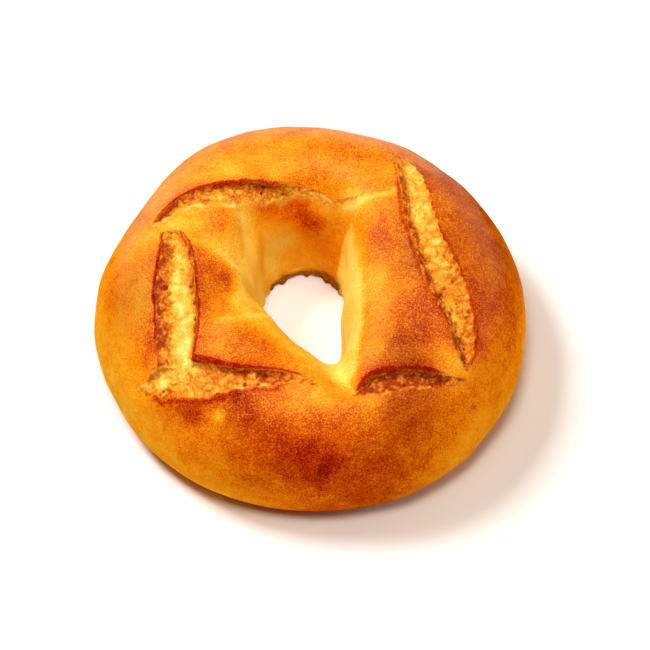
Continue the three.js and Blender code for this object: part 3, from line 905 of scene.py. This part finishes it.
def bakedWheatBread():
    # Baked wheat dough with an egg wash: a satin golden crust with a fine sandy grain,
    # and matt cream crumb where the splits tore open.
    material = bpy.data.materials.new("egg_washed_wheat_crust")
    material.use_nodes = True
    tree = material.node_tree
    tree.nodes.clear()
    place = (addNode(tree, "ShaderNodeTexCoord"), "Object")
    bake, crumbShown, toast, footShown, glaze, dull = (
        addNode(tree, "ShaderNodeAttribute", {"attribute_name": name})
        for name in ("bake", "crumb", "toast", "dryFoot", "glaze", "dull"))

    level = (bake, "Fac")
    for key in ("speckle", "freckle", "blotch"):
        spots = addNode(tree, "ShaderNodeTexNoise", inputs={
            "Vector": place, "Scale": cellsPerMetre(crust[key]["size"]), "Detail": 2.0, "Roughness": 0.55})
        centred = addNode(tree, "ShaderNodeMath", {"operation": "SUBTRACT"}, {0: (spots, "Fac"), 1: 0.5})
        added = addNode(tree, "ShaderNodeMath", {"operation": "MULTIPLY_ADD"}, {
            0: (centred, "Value"), 1: crust[key]["amount"], 2: level})
        level = (added, "Value")
    # the pale grains are partly sandy crust, partly painted glints of light on the tops
    sandAndGlints = crust["sandAndGlints"]
    grains = addNode(tree, "ShaderNodeTexNoise", inputs={
        "Vector": place, "Scale": cellsPerMetre(sandAndGlints["size"]), "Detail": 1.0, "Roughness": 0.5})
    pale = addNode(tree, "ShaderNodeMapRange", inputs={
        "Value": (grains, "Fac"), "From Min": sandAndGlints["from"], "From Max": sandAndGlints["to"]})
    sandAmount = addNode(tree, "ShaderNodeMapRange", inputs={
        "Value": (glaze, "Fac"), "To Min": sandAndGlints["sideAmount"], "To Max": sandAndGlints["amount"]})
    sanded = addNode(tree, "ShaderNodeMath", {"operation": "MULTIPLY_ADD"}, {
        0: (pale, "Result"), 1: (sandAmount, "Result"), 2: level})
    crustColour = addNode(tree, "ShaderNodeValToRGB", inputs={"Fac": (sanded, "Value")})
    setRamp(crustColour, crust["stops"])

    # the crumb colour follows its toasting and the painted shade in its hollows
    speckle = tornCrumb["speckle"]
    flecks = addNode(tree, "ShaderNodeTexNoise", inputs={
        "Vector": place, "Scale": cellsPerMetre(speckle["size"]), "Detail": 3.0, "Roughness": 0.65})
    flecked = addNode(tree, "ShaderNodeMath", {"operation": "MULTIPLY_ADD"}, {
        0: (flecks, "Fac"), 1: speckle["amount"], 2: (toast, "Fac")})
    crumbLevel = addNode(tree, "ShaderNodeMath", {"operation": "SUBTRACT"}, {
        0: (flecked, "Value"), 1: speckle["amount"] / 2})
    crumbColour = addNode(tree, "ShaderNodeValToRGB", inputs={"Fac": (crumbLevel, "Value")})
    setRamp(crumbColour, tornCrumb["stops"])

    # painted shade and painted light: the crust colour is scaled down or up by the painted shading patches
    unshadedShare = addNode(tree, "ShaderNodeMath", {"operation": "SUBTRACT"}, {0: 1.0, 1: (dull, "Fac")})
    shadedCrust = addNode(tree, "ShaderNodeVectorMath", {"operation": "SCALE"}, {
        "Vector": (crustColour, "Color"), "Scale": (unshadedShare, "Value")})
    torn = addNode(tree, "ShaderNodeMix", {"data_type": "RGBA"}, {
        "Factor": (crumbShown, "Fac"), "A": (shadedCrust, "Vector"), "B": (crumbColour, "Color")})
    footColour = addNode(tree, "ShaderNodeValToRGB", inputs={"Fac": (flecks, "Fac")})
    setRamp(footColour, dryFoot["stops"])
    colour = addNode(tree, "ShaderNodeMix", {"data_type": "RGBA"}, {
        "Factor": (footShown, "Fac"), "A": (torn, "Result"), "B": (footColour, "Color")})
    roughness = addNode(tree, "ShaderNodeMapRange", inputs={
        "Value": (crumbShown, "Fac"), "To Min": crust["roughness"], "To Max": tornCrumb["roughness"]})

    grain = crust["grain"]
    sandy = addNode(tree, "ShaderNodeTexNoise", inputs={
        "Vector": place, "Scale": cellsPerMetre(grain["size"]), "Detail": 2.0, "Roughness": 0.5})
    bump = addNode(tree, "ShaderNodeBump", inputs={
        "Strength": grain["strength"], "Distance": grain["height"] * mm, "Height": (sandy, "Fac")})

    shine = addNode(tree, "ShaderNodeMapRange", inputs={
        "Value": (glaze, "Fac"), "To Min": crust["sideShine"], "To Max": crust["shine"]})
    shader = addNode(tree, "ShaderNodeBsdfPrincipled", inputs={
        "Base Color": (colour, "Result"), "Roughness": (roughness, "Result"), "IOR": 1.45,
        "Specular IOR Level": (shine, "Result"), "Specular Tint": linear(crust["shineColour"]),
        "Normal": (bump, "Normal")})
    output = addNode(tree, "ShaderNodeOutputMaterial")
    tree.links.new(shader.outputs["BSDF"], output.inputs["Surface"])
    return material


bread = makeBread()
bread.data.materials.append(bakedWheatBread())
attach(bread, "root")
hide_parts("bread_ring")
report("bread is finished")


studio = {
    "tableSize": 6.0,
    "tableColour": "#f0f1f5",
    "tableRoughness": 0.7,
    "sky": 0.06,
    "skyColour": "#ffd0a0",
    "lampAim": (0, 0, 0.02),
    "lamps": {
        "window": {"at": (-0.494, 0.263, 0.86), "size": 0.28, "power": 9.1, "colour": "#fffefa"},
        "overhead panel": {"at": (0.0, 0.05, 1.1), "size": 0.6, "power": 2.0, "colour": "#fff4e4"},
        "front card": {"at": (-0.03, -0.17, 0.82), "size": 0.2, "power": 3.1, "colour": "#fff4e4"},
        "right card": {"at": (0.74, -0.05, 0.3), "size": 0.3, "power": 1.6, "colour": "#fff4e4"},
    },
    # a narrow lamp above reaches down the hole; its spread is in degrees
    "holeLamp": {"at": (0, -0.34, 0.62), "to": (-0.006, 0.012, 0), "spread": 2.6, "bulb": 0.004,
                 "power": 8.0, "colour": "#e0e9ff"},
    "cameraAngle": 57,  # degrees above the table
    "cameraDistance": 0.8,
    "aim": (0, 0, 0.02),
    "lens": 165.7,
    "offset": (0.00401, -0.00532),  # across and up in the camera's own plane
}


def makeTable():
    bm = bmesh.new()
    bmesh.ops.create_grid(bm, x_segments=1, y_segments=1, size=studio["tableSize"] / 2)
    mesh = bpy.data.meshes.new("table_top")
    bm.to_mesh(mesh)
    bm.free()
    table = bpy.data.objects.new("table_top", mesh)
    bpy.context.scene.collection.objects.link(table)
    material = bpy.data.materials.new("white_laminate")
    material.use_nodes = True
    shader = material.node_tree.nodes["Principled BSDF"]
    shader.inputs["Base Color"].default_value = linear(studio["tableColour"])
    shader.inputs["Roughness"].default_value = studio["tableRoughness"]
    mesh.materials.append(material)


def cameraBack():
    # from the roll towards the camera
    angle = math.radians(studio["cameraAngle"])
    return Vector((0, -math.cos(angle), math.sin(angle)))


def placeLamp(name, light, location, target):
    lamp = bpy.data.objects.new(name, light)
    lamp.location = location
    lamp.rotation_euler = (Vector(target) - lamp.location).to_track_quat("-Z", "Y").to_euler()
    bpy.context.scene.collection.objects.link(lamp)


def makeLights():
    world = bpy.data.worlds.new("soft_white_room")
    world.use_nodes = True
    background = world.node_tree.nodes["Background"]
    background.inputs["Color"].default_value = linear(studio["skyColour"])
    background.inputs["Strength"].default_value = studio["sky"]
    bpy.context.scene.world = world
    for name, lamp in studio["lamps"].items():
        light = bpy.data.lights.new(name, "AREA")
        light.size = lamp["size"]
        light.energy = lamp["power"]
        light.color = linear(lamp["colour"])[:3]
        placeLamp(name, light, lamp["at"], studio["lampAim"])
    spot = studio["holeLamp"]
    light = bpy.data.lights.new("hole lamp", "SPOT")
    light.energy = spot["power"]
    light.color = linear(spot["colour"])[:3]
    light.spot_size = math.radians(spot["spread"])
    light.spot_blend = 1.0
    light.shadow_soft_size = spot["bulb"]
    placeLamp("hole lamp", light, spot["at"], spot["to"])


def makeCamera():
    back = cameraBack()
    right = Vector((1, 0, 0))
    up = back.cross(right)
    across, upward = studio["offset"]
    camera = bpy.data.objects.new("camera", bpy.data.cameras.new("camera"))
    camera.data.lens = studio["lens"]
    camera.data.sensor_width = 36
    camera.location = Vector(studio["aim"]) + back * studio["cameraDistance"] + right * across + up * upward
    camera.rotation_euler = back.to_track_quat("Z", "Y").to_euler()
    bpy.context.scene.collection.objects.link(camera)
    bpy.context.scene.camera = camera


makeTable()
makeLights()
makeCamera()
bpy.context.scene.view_settings.view_transform = "Standard"
report("table, light and camera are set")
